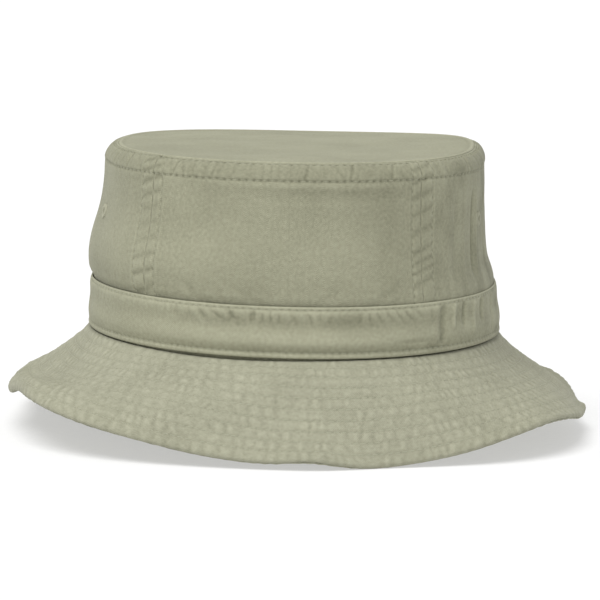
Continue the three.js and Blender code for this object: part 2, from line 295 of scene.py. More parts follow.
WALL_HEIGHTS = np.concatenate([
    TOP_HEIGHT - (TOP_HEIGHT - SHOULDER_HEIGHT) * np.linspace(0, 1, 400) ** 2,
    np.linspace(SHOULDER_HEIGHT, WALL_END, 400)[1:],
])
WALL_STEPS = np.diff(wall_points(np.array([0.0]), WALL_HEIGHTS)[:, 0], axis=0)
WALL_DISTANCES = np.concatenate([[0], np.cumsum(np.linalg.norm(WALL_STEPS, axis=-1))])


def height_at(distance):
    """Height of the wall at a distance down the cloth from the top seam."""
    return np.interp(distance, WALL_DISTANCES, WALL_HEIGHTS)


def distance_at(height):
    return np.interp(-height, -WALL_HEIGHTS, WALL_DISTANCES)


def slope_at(station, bearings):
    mean, waves = BRIM_SLOPES[station]
    return mean + sum(deg * np.cos(np.radians(times * (bearings - crest))) for times, deg, crest in waves)


def brim_points(bearings, distances):
    """The brim's upper face, found by walking out from its root along its changing slope."""
    root_x, root_y = oval(bearings, BRIM_ROOT_HALF_WIDTH, SEAM_SQUARENESS)
    ahead_x, ahead_y = oval(bearings + 0.01, BRIM_ROOT_HALF_WIDTH, SEAM_SQUARENESS)
    along = np.stack([ahead_x - root_x, ahead_y - root_y], -1)
    along /= np.linalg.norm(along, axis=-1, keepdims=True)
    walk = np.linspace(0, BRIM_WIDTH, 205)
    u = ((walk[1:] + walk[:-1]) / 2 / BRIM_WIDTH)[:, None]
    root, middle, edge = (slope_at(name, bearings)[None, :] for name in BRIM_SLOPES)
    slope = root * (1 - u) * (1 - 2 * u) + middle * 4 * u * (1 - u) + edge * u * (2 * u - 1)
    for bearing, width, share, reach, degrees in BRIM_TURNS:
        around = bump(degrees_from(bearing, bearings), 0, width)
        slope = slope + degrees * around[None, :] * bump(u, share, reach)
    slope = np.radians(slope)
    start = np.zeros((1, len(bearings)))
    out = np.concatenate([start, np.cumsum(np.cos(slope), axis=0)]) * walk[1]
    drop = np.concatenate([start, np.cumsum(np.sin(slope), axis=0)]) * walk[1]
    bearing, width, gathered = BRIM_TAKE_UP
    taken_up = gathered * bump(degrees_from(bearing, bearings), 0, width)
    place = np.clip(distances, 0, BRIM_WIDTH)[:, None] * (1 - taken_up) / walk[1]
    low = np.minimum(place.astype(int), len(walk) - 2)
    share = place - low
    column = np.arange(len(bearings))
    out = out[low, column] * (1 - share) + out[low + 1, column] * share
    drop = drop[low, column] * (1 - share) + drop[low + 1, column] * share
    x = root_x + along[:, 1] * out
    y = root_y - along[:, 0] * out
    return np.stack([x, y, seam_height(bearings) - BRIM_ROOT_DROP - drop], -1)


def normals_of(points):
    """Outward normals of a grid whose rows run downwards and whose columns run anticlockwise."""
    normal = np.cross(np.gradient(points, axis=0), np.gradient(points, axis=1))
    return normal / np.linalg.norm(normal, axis=-1, keepdims=True)


def path_lengths(points, axis):
    """Distance along each column (axis 0) or each row (axis 1) of a grid, from its first point."""
    steps = np.linalg.norm(np.diff(points, axis=axis), axis=-1)
    return np.concatenate([np.zeros_like(steps.take([0], axis)), np.cumsum(steps, axis)], axis)


# ------------------------ folds and puckers in the cloth

def groove(distance, depth, width=0.5):
    return -depth * bump(distance, 0, width)


def from_bearing(girth, bearing):
    """Distance round the hat from a bearing, the shorter way."""
    return (girth - girth_at(bearing) + GIRTH / 2) % GIRTH - GIRTH / 2


def beside(girth, bearing, width):
    """1 at a bearing, fading to 0 over a width in millimetres on both sides."""
    return bump(from_bearing(girth, bearing), 0, width)


def leftness(bearing):
    """0 in front, behind and on the right, and rising to 1 at the wearer's left."""
    return np.clip(np.sin(np.radians(bearing)), 0, 1)


def stitch_groove(distance, reach, depth, width=0.5, even=0.35):
    """A row of stitches pulls the cloth in, most where the thread dives through it between stitches.

    distance is across the row and reach is along it. even is the share that is as deep all along.
    """
    gap = STITCH_PITCH - STITCH_LENGTH
    from_hole = (reach + (gap + STITCH_PITCH) / 2) % STITCH_PITCH - STITCH_PITCH / 2
    return groove(distance, depth, width) * (even + 0.95 * bump(from_hole, 0, 0.6))


def wall_slump(bearing, height):
    """The soft wall bellies out over the band on the wearer's right and tucks in on the left."""
    side, ahead = np.sin(np.radians(bearing)), np.cos(np.radians(bearing))
    spread = np.where(height < 33, 9.5 - 3 * side, 15.0)
    belly = (0.8 - 2.6 * side) * bump(height, 33, spread)
    hollow = -1.3 * leftness(bearing) * bump(height, 50, 16)
    corner = -0.5 * leftness(bearing) * bump(height, 70, 6)
    above_band = smoothstep(18.5, 24.5, height)
    tuck = 0.3 + 0.3 * np.clip(ahead, 0, 1)
    return (belly + hollow) * above_band + corner - tuck * (1 - above_band)


def between_top_rows(distance):
    """1 between the two rows of stitches under the top seam, and 0 above and below them."""
    return smoothstep(0.8, 2.8, distance) * smoothstep(10.6, 9.2, distance)


def seam_puckers(girth, distance, start, end, row):
    """Puckers pulled up by a seam's topstitching, and the distance from the seam that has them."""
    after, before = girth - girth_at(start), girth_at(end) - girth
    seam = np.where(after < before, start, end) % 360
    slanted = distance + 0.3 * np.where(after < before, after, -before)
    across = np.minimum(after, before)
    rope = blurred(puckers(slanted * 3, seam * 0.31, 19, 9, 0.8), 2)
    return rope * smoothstep(row + 0.6, row - 0.6, across) * smoothstep(0, 0.8, across), across


def wall_relief(bearing, distance, start, end, row):
    """Relief of a crown panel that runs between two seams, given as bearings."""
    girth = girth_at(bearing)
    height = height_at(distance)
    relief = wall_slump(bearing, height)
    free = smoothstep(0, 12, distance) * smoothstep(19, 25, height)
    relief += free * (0.5 * crumple(girth, distance, 34, 1) + 0.16 * crumple(girth, distance, 12, 2))
    relief += 0.035 * crumple(girth, distance, 3.4, 3)

    pucker = puckers(girth, distance / 12, 6.2, 4, 1.1)
    between = between_top_rows(distance)
    relief += between * (0.22 + 0.2 * pucker)
    relief += 0.1 * pucker * smoothstep(10.2, 11.2, distance) * smoothstep(22, 11.2, distance)
    for crease in TOP_CREASES:
        slant = 0.25 * (distance - 6)
        relief += groove(from_bearing(girth, crease) + slant, 0.4, 0.7) * between
    ledge = 0.34 * bump(distance, 12.3, 1.3) - 0.34 * bump(distance, 16.5, 2.6)
    relief += ledge * beside(girth, 12, 38)
    relief += groove(distance, 0.2, 0.5)

    rope, across = seam_puckers(girth, distance, start, end, row)
    relief += 0.15 * smoothstep(row + 0.4, row - 0.8, across) + 0.6 * rope
    relief += groove(across, 0.05, 0.35) * (1 + 1.6 * crumple(girth, distance, 15, 6))
    relief += 0.13 * bump(across, row + 1.1, 0.8) * (1 + crumple(girth, distance, 9, 7))

    for fold, depth, width in WALL_FOLDS:
        line = from_bearing(girth, fold) + 0.05 * (distance - 35)
        relief += groove(line, depth, width) * smoothstep(13, 24, distance) * smoothstep(23, 34, height)
    down = distance - distance_at(24)
    for fold, lean, depth in WALL_FOOT_FOLDS:
        line = from_bearing(girth, fold) - lean * down
        relief += groove(line, depth, 3.2) * bump(down, 0, 6)
    above_band = smoothstep(21, 24, height) * smoothstep(33, 24, height)
    relief += 0.14 * puckers(girth, distance / 14, 7.5, 11, 1.2) * above_band
    return relief


def band_relief(bearing, distance):
    """Relief of the folded band: its section, strongest in front, and the folds pressed across it."""
    girth = girth_at(bearing)
    ahead = 0.5 + 1.15 * beside(girth, 8, 60)
    section = blurred(np.interp(distance, *zip(*BAND_PROFILE)), 3)
    relief = section * np.where(distance < BAND_ROWS[0], 1, ahead)
    relief += 0.26 * puckers(girth, distance / 9, 5.4, 21) * bump(distance, 4.4, 2.6) * ahead
    relief += 0.35 * crumple(girth, distance, 15, 22) * bump(distance, 10, 6)
    twist = 0.5 * smoothstep(8, BAND_HEIGHT, distance) - 0.65 * smoothstep(13, 0, distance)
    relief += leftness(bearing) * twist
    relief += 0.12 * puckers(girth, distance / 12, 4.2, 23) * bump(distance, 16.8, 1.6)
    middle = smoothstep(1.2, 3, distance) * smoothstep(19.5, 17, distance)
    for fold, depth, width, foot in BAND_FOLDS:
        line = from_bearing(girth, fold) + 0.12 * (distance - 4)
        relief += groove(line, depth, width) * middle * smoothstep(foot, foot - 4, distance)
    relief += groove(distance - 15.0, 0.35, 0.8) * beside(girth, 37, 8)
    return relief


def brim_crumple(bearing, distance):
    """Unevenness that all the plies of the brim share, with one crease and a dip at the root in front."""
    girth = girth_at(bearing)
    free = smoothstep(2, 16, distance)
    relief = free * (0.8 * crumple(girth, distance, 36, 31) + 0.38 * crumple(girth, distance, 14, 32))
    crease = -27
    fold = groove(distance - 14.5 - 0.06 * (girth - crease), 0.9, 0.9)
    relief += fold * bump(girth, crease, 6)
    relief -= 0.9 * smoothstep(3.6, 0, distance) * beside(girth, -16, 40)
    return relief


def brim_quilting(bearing, distance, reach, seed):
    """Each lane between two rows of stitches puffs up and puckers."""
    girth = girth_at(bearing)
    edges = np.array([0, *BRIM_ROWS, BRIM_WIDTH + 1])
    lane = np.clip(np.searchsorted(edges, distance) - 1, 0, len(edges) - 2)
    share = np.clip((distance - edges[lane]) / (edges[lane + 1] - edges[lane]), 0, 1)
    puff = 4 * share * (1 - share)
    spread = 1 + 0.45 * distance / BRIM_WIDTH
    lane_spread = 1 + 0.45 * (lane + 0.5) / len(BRIM_ROWS)
    within = puckers(girth * lane_spread, lane * 2 + 0.3 * share, 5.6, seed, 1.4)
    through = puckers(girth * spread, distance / 19, 6.4, seed + 5, 1.5)
    fine = crumple(girth, distance, 2.6, seed + 9)
    patch = crumple(girth, distance, 5.5, seed + 11)
    relief = puff * (0.1 + 0.16 * within + 0.05 * fine + 0.1 * patch) + (0.4 + 0.6 * puff) * 0.11 * through
    tension = np.clip(0.045 + 0.09 * crumple(girth, distance, 16, seed + 13), 0.01, 1)
    for row in BRIM_ROWS:
        relief += stitch_groove(distance - row, reach, tension, 0.6, 0.12)
    return relief


# ------------------------ meshes

def stations(length, spacing, lines):
    """Distances from 0 to a length: evenly spaced, and closer together at the ends and at each line."""
    lines = [0, *lines, length]
    near = [line + side for line in lines for side in (-0.9, -0.45, 0, 0.45, 0.9)]
    even = np.linspace(0, length, round(length / spacing) + 1)
    far = [place for place in even if min(abs(place - line) for line in lines) > 1.2]
    return np.unique(np.clip(near + far, 0, length).round(4))


def columns_between(start, end, spacing, lines=()):
    """Bearings of a strip's columns, with lines given as distances in from both ends."""
    low, high = girth_at(start), girth_at(end)
    lines = [*lines, *(high - low - line for line in reversed(lines))]
    return bearing_at(low + stations(high - low, spacing, lines))


def rolled(points, normals, radius, steps=ROLL_STEPS):
    """Rows that continue a grid past its last row, curling under the cloth in a quarter turn."""
    ahead = points[-1] - points[-2]
    normal = normals[-1]
    ahead -= normal * (ahead * normal).sum(-1, keepdims=True)
    ahead /= np.linalg.norm(ahead, axis=-1, keepdims=True)
    turns = np.radians(np.linspace(0, 90, steps + 1)[1:])[:, None, None]
    rows = points[-1] + radius * (np.sin(turns) * ahead - (1 - np.cos(turns)) * normal)
    return np.concatenate([points, rows])


def add_object(name, data):
    obj = bpy.data.objects.new(name, data)
    bpy.context.scene.collection.objects.link(obj)
    return obj


def new_piece(name, points, faces):
    mesh = bpy.data.meshes.new(name)
    mesh.from_pydata(((points + ORIGIN) * MM).tolist(), [], faces)
    mesh.polygons.foreach_set("use_smooth", np.ones(len(mesh.polygons), bool))
    return add_object(name, mesh)


def dress(obj, material, nodes=()):
    """Gives a piece its material, hides the CAD nodes it stands for and attaches it to its body."""
    obj.data.materials.append(material)
    if nodes:
        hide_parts(*nodes)
    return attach(obj, "root")


def cloth(name, points, wear_and_shade, thickness, material, node, facing=1, hole=None, disc=None):
    """A sheet of cloth from a grid of points on its outer face.

    facing is -1 for cloth seen from below. A disc is (width, length): its rows are rings. Rows past the
    last row of the wear and painted light and shade repeat it, and a face that touches a point marked in
    hole is left out.
    """
    rows, columns = points.shape[:2]
    i, j = grid(np.arange(rows - 1), np.arange(columns - 1))
    corners = np.array([(0, 0), (1, 0), (1, 1), (0, 1)][::facing])
    ci, cj = i.ravel()[:, None] + corners[:, 0], j.ravel()[:, None] + corners[:, 1]
    if hole is not None:
        keep = ~hole[ci, cj].any(axis=1)
        ci, cj = ci[keep], cj[keep]
    obj = new_piece(name, points.reshape(-1, 3), (ci * columns + cj).tolist())
    reach, drop = path_lengths(points, 1), path_lengths(points, 0)
    uv = np.stack([reach[rows // 2][cj], drop[ci, cj]], -1) * MM
    obj.data.uv_layers.new(name="Cloth").data.foreach_set("uv", uv.ravel())
    full = np.repeat(wear_and_shade[-1:], len(points), axis=0)
    full[:len(wear_and_shade)] = wear_and_shade
    obj.data.attributes.new("wear_and_shade", "FLOAT", "POINT").data.foreach_set("value", full.ravel())
    tidy_mesh(obj, disc is not None)
    solid = obj.modifiers.new("thickness", "SOLIDIFY")
    solid.thickness = thickness * MM
    solid.offset = -1
    return dress(obj, material, [node])


def tidy_mesh(obj, joined):
    """Removes the points that no face uses, and joins the ends of a strip that closes on itself."""
    mesh = bmesh.new()
    mesh.from_mesh(obj.data)
    bmesh.ops.delete(mesh, geom=[v for v in mesh.verts if not v.link_faces], context="VERTS")
    if joined:
        bmesh.ops.remove_doubles(mesh, verts=mesh.verts, dist=0.00001)
    mesh.to_mesh(obj.data)
    mesh.free()


def wear_and_shade_of(relief):
    """From -1 in a crease to 1 on a ridge: painted shade darkens the creases, and washing lightens the dye
    on the ridges.
    """
    return np.clip((relief - blurred(relief, 8)) / 0.16, -1, 1)


def thread_line(points, normals, reach):
    """Stitches along a line on the cloth, as one ring of points after another for each stitch."""
    first = math.ceil(reach[0] / STITCH_PITCH)
    last = math.floor((reach[-1] - STITCH_LENGTH) / STITCH_PITCH)
    starts = STITCH_PITCH * np.arange(first, last + 1)
    along = np.array([0, 0.12, 0.5, 0.88, 1])
    swell = np.array([0.45, 0.9, 1, 0.9, 0.45])
    lift = np.array([-0.2, -0.03, 0.03, -0.03, -0.2])
    place = starts[:, None] + along * STITCH_LENGTH
    centre = np.stack([np.interp(place, reach, points[:, k]) for k in range(3)], -1)
    normal = np.stack([np.interp(place, reach, normals[:, k]) for k in range(3)], -1)
    ahead = np.gradient(centre, axis=1)
    side = np.cross(normal, ahead)
    side /= np.linalg.norm(side, axis=-1, keepdims=True)
    centre = centre + normal * lift[:, None]
    turns = np.radians(np.arange(6) * 60)
    ring = side[:, :, None] * np.cos(turns)[:, None] + normal[:, :, None] * np.sin(turns)[:, None]
    return centre[:, :, None] + ring * (THREAD_RADIUS * swell)[:, None, None]


def topstitching(name, lines, material):
    rings = np.concatenate([thread_line(*line) for line in lines])
    count, stages, sides = rings.shape[:3]
    index = np.arange(count * stages * sides).reshape(count, stages, sides)
    ahead = np.roll(index, -1, axis=2)
    walls = np.stack([index[:, :-1], index[:, 1:], ahead[:, 1:], ahead[:, :-1]], -1).reshape(-1, 4)
    caps = np.concatenate([index[:, 0], index[:, -1, ::-1]])
    obj = new_piece(name, rings.reshape(-1, 3), walls.tolist() + caps.tolist())
    return dress(obj, material)


def row_line(points, facing, reach, places, place):
    """The row of a grid at a place among its rows' places, for thread_line. facing is -1 from below."""
    row = int(np.argmin(np.abs(places - place)))
    return points[row], facing * normals_of(points)[row], reach[row]


def column_line(points, reach, places, place, shown):
    """The column of a grid at a place among its columns' places, along the rows that are shown."""
    column = int(np.argmin(np.abs(places - place)))
    return points[shown, column], normals_of(points)[shown, column], reach[shown, column]


# ------------------------ materials

class Shader:
    """A material, with short ways to add nodes to it."""

    def __init__(self, name, roughness=0.85, sheen=0.0):
        self.material = bpy.data.materials.new(name)
        self.material.use_nodes = True
        self.tree = self.material.node_tree
        self.surface = self.tree.nodes["Principled BSDF"]
        values = {"Roughness": roughness, "Sheen Weight": sheen}
        values |= {"Specular IOR Level": 0.25, "Sheen Roughness": 0.5}
        for socket, value in values.items():
            self.surface.inputs[socket].default_value = value

    def node(self, kind, inputs, **settings):
        node = self.tree.nodes.new(kind)
        for key, value in settings.items():
            setattr(node, key, value)
        for key, value in inputs.items():
            if isinstance(value, bpy.types.NodeSocket):
                self.tree.links.new(value, node.inputs[key])
            else:
                node.inputs[key].default_value = value
        return node

    def math(self, operation, *values):
        return self.node("ShaderNodeMath", dict(enumerate(values)), operation=operation).outputs[0]

    def cloth_place(self):
        return self.node("ShaderNodeUVMap", {}, uv_map="Cloth").outputs[0]

    def solid_place(self):
        return self.node("ShaderNodeTexCoord", {}).outputs["Object"]

    def noise(self, place, size, detail=2.0, roughness=0.5):
        """Noise whose features are about one size across, in millimetres."""
        inputs = {"Vector": place, "Scale": 1000 / size, "Detail": detail, "Roughness": roughness}
        return self.node("ShaderNodeTexNoise", inputs).outputs["Fac"]

    def colour(self, low, high, share):
        """A mix of two colours. The node has an A and a B of each kind: 6 and 7 are the colours."""
        node = self.node("ShaderNodeMix", {0: share, 6: (*low, 1), 7: (*high, 1)}, data_type="RGBA")
        return node.outputs[2]

    def finish(self, colour, height, depth, roughness=None):
        """Connects the colour, a bump of a depth in millimetres and a roughness."""
        inputs = {"Height": height, "Distance": depth * MM, "Strength": 1.0}
        normal = self.node("ShaderNodeBump", inputs).outputs[0]
        self.tree.links.new(colour, self.surface.inputs["Base Color"])
        self.tree.links.new(normal, self.surface.inputs["Normal"])
        if roughness is not None:
            self.tree.links.new(roughness, self.surface.inputs["Roughness"])
        return self.material


# Base colours, each as its darkest and its lightest.
# The crown's cotton is the brim's cotton painted a little darker, as shade for the walls, which face the
# light less than the brim.
SHADED_CROWN_COTTON = ((0.188, 0.187, 0.124), (0.436, 0.433, 0.312))
BRIM_COTTON = ((0.197, 0.196, 0.135), (0.450, 0.446, 0.335))
CROWN_THREAD = ((0.20, 0.20, 0.14), (0.45, 0.45, 0.33))
# The brim's thread is the crown's thread painted lighter, against the shade its rows cast on the brim.
LIT_BRIM_THREAD = ((0.235, 0.235, 0.167), (0.50, 0.50, 0.375))
EYELET_THREAD = ((0.22, 0.22, 0.15), (0.50, 0.495, 0.375))
TAPE_COTTON = ((0.20, 0.20, 0.14), (0.42, 0.42, 0.31))
SWEATBAND_COTTON = ((0.22, 0.22, 0.155), (0.40, 0.40, 0.29))
LABEL_SATIN = ((0.62, 0.62, 0.58), (0.8, 0.8, 0.77))
INTERLINING_FELT = ((0.5, 0.5, 0.45), (0.7, 0.7, 0.65))
STUDIO_PAPER = ((0.48, 0.48, 0.48), (0.52, 0.52, 0.52))
PAPER_GLOW = 0.45


def twill(name, dark, light):
    """Washed cotton twill: diagonal wales of slubby yarn, worn pale on ridges, with painted shade in
    creases and hollows and painted highlights on rolled edges, all from one attribute.
    """
    shader = Shader(name, sheen=0.08)
    place = shader.cloth_place()
    solid = shader.solid_place()
    wales = {"Vector": place, "Scale": 700.0, "Distortion": 1.4, "Detail": 2.0, "Detail Scale": 1.5}
    wale = shader.node("ShaderNodeTexWave", wales, bands_direction="DIAGONAL").outputs["Fac"]
    yarn = shader.noise(place, 0.45, 2, 0.6)
    grain = shader.noise(place, 1.5, 3, 0.65)
    patch = shader.noise(solid, 26, 3, 0.55)
    wear_and_shade = shader.node("ShaderNodeAttribute", {}, attribute_name="wear_and_shade").outputs["Fac"]
    share = shader.math("MULTIPLY_ADD", wear_and_shade, 0.17, 0.5)
    for pattern, weight in ((grain, 0.85), (patch, 0.45), (wale, 0.12), (yarn, 0.34)):
        share = shader.math("MULTIPLY_ADD", shader.math("SUBTRACT", pattern, 0.5), weight, share)
    height = shader.math("MULTIPLY_ADD", yarn, 0.7, wale)
    height = shader.math("MULTIPLY_ADD", grain, 0.9, height)
    matt = {"Value": grain, "From Min": 0.3, "From Max": 0.7, "To Min": 0.78, "To Max": 0.95}
    roughness = shader.node("ShaderNodeMapRange", matt).outputs[0]
    return shader.finish(shader.colour(dark, light, share), height, 0.07, roughness)


def thread(name, dark, light):
    """Spun thread: short slanting fibres, a little lighter and glossier than the cloth."""
    shader = Shader(name, roughness=0.6, sheen=0.1)
    place = shader.solid_place()
    twist = {"Vector": place, "Scale": 900.0, "Distortion": 2.0, "Detail": 1.0}
    ply = shader.node("ShaderNodeTexWave", twist, bands_direction="DIAGONAL").outputs["Fac"]
    fibre = shader.noise(place, 0.3, 2)
    share = shader.math("MULTIPLY_ADD", ply, 0.35, shader.math("MULTIPLY", fibre, 0.7))
    return shader.finish(shader.colour(dark, light, share), ply, 0.03)


def herringbone(name, dark, light):
    """Woven tape: its fine diagonal ribs turn back every few millimetres."""
    shader = Shader(name, sheen=0.1)
    place = shader.node("ShaderNodeSeparateXYZ", {"Vector": shader.cloth_place()})
    stripe = 2.2 * MM
    ribs = 7000.0  # in radians to a metre
    slant = shader.math("ADD", shader.math("PINGPONG", place.outputs[0], stripe), place.outputs[1])
    rib = shader.math("SINE", shader.math("MULTIPLY", slant, ribs))
    fibre = shader.noise(shader.cloth_place(), 0.6, 2)
    share = shader.math("MULTIPLY_ADD", rib, 0.18, fibre)
    return shader.finish(shader.colour(dark, light, share), rib, 0.06)


def plain_weave(name, dark, light, pitch, depth, roughness=0.85):
    """Over and under weave with yarns a pitch apart, in millimetres."""
    shader = Shader(name, roughness=roughness, sheen=0.1)
    place = shader.node("ShaderNodeSeparateXYZ", {"Vector": shader.cloth_place()})
    turns = 2 * math.pi / (pitch * MM)
    warp = shader.math("SINE", shader.math("MULTIPLY", place.outputs[0], turns))
    weft = shader.math("SINE", shader.math("MULTIPLY", place.outputs[1], turns))
    weave = shader.math("MULTIPLY", warp, weft)
    slub = shader.noise(shader.cloth_place(), 2.2, 3)
    share = shader.math("MULTIPLY_ADD", weave, 0.15, slub)
    return shader.finish(shader.colour(dark, light, share), weave, depth)


def felted(name, dark, light):
    """Non-woven stiffening cloth: pressed fibres in all directions."""
    shader = Shader(name)
    place = shader.cloth_place()
    fibre = {"Vector": place, "Scale": 900.0, "Randomness": 1.0}
    cells = shader.node("ShaderNodeTexVoronoi", fibre, feature="DISTANCE_TO_EDGE").outputs["Distance"]
    cloud = shader.noise(place, 4, 4)
    return shader.finish(shader.colour(dark, light, cloud), cells, 0.05)


def translucent_paper(name, dark, light, glow):
    """White paper with a faint tooth, which gives off light so that shadows on it stay pale."""
    shader = Shader(name, roughness=0.9)
    shader.surface.inputs["Emission Color"].default_value = (1, 1, 1, 1)
    shader.surface.inputs["Emission Strength"].default_value = glow
    tooth = shader.noise(shader.solid_place(), 3, 3)
    return shader.finish(shader.colour(dark, light, tooth), tooth, 0.02)


# ------------------------ the hat's pieces

def panel_wear_and_shade(relief, bearing, distance, reach, rope):
    """Wear and painted light of a crown panel: darker between the top rows, with painted shade in a seam's
    puckers, in the first top row's stitch holes, at the wall's foot and on the wearer's left.
    """
    girth = girth_at(bearing)
    side = leftness(bearing) ** 2
    # Darker overall and between the top rows, with painted shade over the wearer's left, the side away
    # from the key light.
    wear_and_shade = wear_and_shade_of(relief) - 0.35 - 0.6 * between_top_rows(distance) - 0.5 * side
    # Painted shade in the dips of a seam's puckers, deeper on the wearer's left.
    wear_and_shade -= (1.5 + 1.6 * side) * np.clip(-rope, 0, 1)
    # Light and dark patches in that painted shade on the wearer's left.
    wear_and_shade += side * (1.1 * crumple(girth, distance, 9, 61) + 0.6 * crumple(girth, distance / 4, 3, 62))
    # Lighter just under the top seam; painted shade at the wall's foot, in the gap under the band.
    wear_and_shade += bump(distance, 0.5, 0.6) - smoothstep(3, 0, height_at(distance))
    # Painted shade in the stitch holes of the first top row, uneven along it.
    uneven = 3 + 2 * crumple(girth, 0 * distance, 8, 63)
    wear_and_shade += uneven * stitch_groove(distance - TOP_ROWS[0], reach, 1)
    return np.clip(wear_and_shade, -2.2, 1.4)


def eyelet_holes(base):
    """Marks the points of a panel's grid that lie inside an eyelet."""
    hole = np.zeros(base.shape[:2], bool)
    for eyelet in EYELET_BEARINGS:
        centre = wall_surface(eyelet, EYELET_HEIGHT)
        hole |= np.linalg.norm(base - centre, axis=-1) < EYELET_CUT_RADIUS
    return hole


def crown_panels(material, stitch_material):
    """The four panels of the crown wall, and the stitching along its top and beside its seams."""
    row_spacing, column_spacing = WALL_GRID
    rows = stations(distance_at(WALL_END), row_spacing, TOP_ROWS)
    shown = (rows > 2.2) & (rows < distance_at(BAND_HEIGHT - 2))
    top_lines, seam_lines = [], []
    for name, (start, end, seam_row) in PANELS.items():
        columns = columns_between(start + 0.01, end - 0.01, column_spacing, [seam_row])
        distance, bearing = grid(rows, columns)
        base = wall_points(columns, height_at(rows))
        reach, drop = path_lengths(base, 1), path_lengths(base, 0)
        relief = wall_relief(bearing, distance, start, end, seam_row)
        girths = girth_at(columns)
        seam_rows = (girths[0] + seam_row, girths[-1] - seam_row)
        for row, depth in zip(TOP_ROWS, TOP_ROW_DEPTHS):
            relief += stitch_groove(distance - row, reach, depth)
        for row in seam_rows:
            relief += stitch_groove(girths - row, drop, SEAM_ROW_DEPTH)
        points = base + normals_of(base) * relief[:, :, None]
        rope = seam_puckers(girth_at(bearing), distance, start, end, seam_row)[0]
        wear_and_shade = panel_wear_and_shade(relief, bearing, distance, reach, rope)
        cloth(name + "_cloth", points, wear_and_shade, PLY, material, name,
              hole=eyelet_holes(base))
        top_lines += [row_line(points, 1, reach, rows, row) for row in TOP_ROWS]
        seam_lines += [column_line(points, drop, girths, row, shown) for row in seam_rows]
    topstitching("topstitching_top_seam", top_lines, stitch_material)
    topstitching("topstitching_panel_seams", seam_lines, stitch_material)


def crown_top(material):
    """The tip: nearly flat, with its edge rolled down into the top seam."""
    inner_rings, edge_rings = np.linspace(0, 0.9, 46), np.linspace(0.9, 0.992, 14)
    shares = np.concatenate([inner_rings, edge_rings[1:]])
    columns = bearing_at(np.linspace(0, GIRTH, 861))
    share, bearing = grid(shares, columns)
    x, y = oval(bearing, TOP_HALF_WIDTH * share, TOP_SQUARENESS)
    z = TOP_HEIGHT + share ** 3 * top_rise(bearing)
    girth = girth_at(bearing)
    relief = 0.5 * noise(x / 33 + 20, y / 33 + 20, 64, 41)
    relief += 0.12 * noise(x / 9 + 30, y / 9 + 40, 64, 42)
    relief *= smoothstep(1, 0.85, share)
    edge = (1 - share) * TOP_HALF_WIDTH
    relief += 0.1 * puckers(girth, 0 * girth, 6.2, 4, 1.1) * bump(edge, 3.2, 1.8)
    relief += 0.35 * bump(edge, 0.8, 0.6) + groove(edge - 2.4, 0.1, 0.8)
    points = np.stack([x, y, z + relief], -1)
    normals = np.zeros_like(points)
    normals[..., 2] = 1
    points = rolled(points, normals, 0.7)
    # The whole tip is lighter, and a painted highlight runs along the bead of its edge, which the rolled
    # rows repeat.
    wear_and_shade = np.clip(wear_and_shade_of(relief) + 0.3 + bump(edge, 0.6, 0.8), -1, 1.4)
    obj = cloth("crown_top_cloth", points, wear_and_shade, PLY, material, "crown_top_panel",
                disc=(2 * TOP_HALF_WIDTH, 2 * TOP_HALF_WIDTH * OVAL_RATIO))
    for loop in obj.data.loops:
        place = obj.data.vertices[loop.vertex_index].co
        obj.data.uv_layers["Cloth"].data[loop.index].uv = (place.x, place.y)


def band_wear_and_shade(relief, bearing, distance):
    """Wear and painted light of the band: painted shade in the trough along its front, above its lower row
    in front and in patches on the wearer's left, away from the key light, and a painted highlight along
    its upper edge.
    """
    girth = girth_at(bearing)
    trough = bump(distance, 4.8, 2.8) * (0.9 + 0.7 * crumple(girth, distance, 7, 24))
    front = beside(girth, 2, 50)
    # Painted shade in the trough, which faces down, and above the lower row in front, less a painted
    # highlight along the upper edge.
    shade = front * (0.7 * trough + 0.5 * bump(distance, 17.4, 1.2)) - bump(distance, 0.3, 0.5)
    # Painted shade on the wearer's left, away from the key light, in patches.
    shade += leftness(bearing) ** 2 * (0.8 - 1.6 * crumple(girth, distance, 6, 25))
    return 0.45 + 1.2 * wear_and_shade_of(relief) - shade


def hat_band(material, stitch_material):
    """A strip round the foot of the crown, folded in at both edges and joined at the back."""
    row_spacing, column_spacing = BAND_GRID
    columns = columns_between(ROUND_START, ROUND_END, column_spacing)
    rows = stations(BAND_HEIGHT + 0.4, row_spacing, BAND_ROWS)[1:-1]
    distance, bearing = grid(rows, columns)
    base = wall_points(columns, BAND_HEIGHT - rows)
    reach = path_lengths(base, 1)
    relief = band_relief(bearing, distance) + BAND_STAND
    ends = np.minimum(girth_at(bearing) - girth_at(180), girth_at(540) - girth_at(bearing))
    relief += groove(ends, 0.8, 0.5)
    for row in BAND_ROWS:
        relief += stitch_groove(distance - row, reach, BAND_ROW_DEPTH, 0.45)
    scallops = np.abs(np.sin(np.pi * reach / STITCH_PITCH)) - 0.5
    relief += 0.16 * scallops * bump(distance, 19.8, 0.6)
    normals = normals_of(base)
    points = base + normals * relief[:, :, None]
    lines = [row_line(points, 1, reach, rows, row) for row in BAND_ROWS]
    upper_roll = rolled(points[::-1], normals[::-1], 0.4)[::-1][:ROLL_STEPS]
    points = np.concatenate([upper_roll, rolled(points, normals, 0.6)])
    last = ROLL_STEPS + len(rows)
    wear_and_shade = np.zeros(points.shape[:2])
    wear_and_shade[ROLL_STEPS:last] = band_wear_and_shade(relief, bearing, distance)
    # A painted highlight on the roll of the upper edge.
    wear_and_shade[:ROLL_STEPS + 1] = 1.4
    # The lower roll: lighter where it turns, then painted shade where it tucks under towards the brim.
    wear_and_shade[last:] = np.array([0.6, 0, -1, -1])[:, None]
    cloth("hat_band_cloth", points, wear_and_shade, BAND_PLY, material, "hat_band")
    topstitching("topstitching_band", lines, stitch_material)


def brim_face(name, points, facing, wear_and_shade, material):
    """One face of half the brim, with its edge rolled in towards the other face."""
    points = rolled(points, facing * normals_of(points), BRIM_EDGE_RADIUS, BRIM_ROLL_STEPS)
    cloth(name + "_cloth", points, wear_and_shade, PLY, material, name, facing=facing)


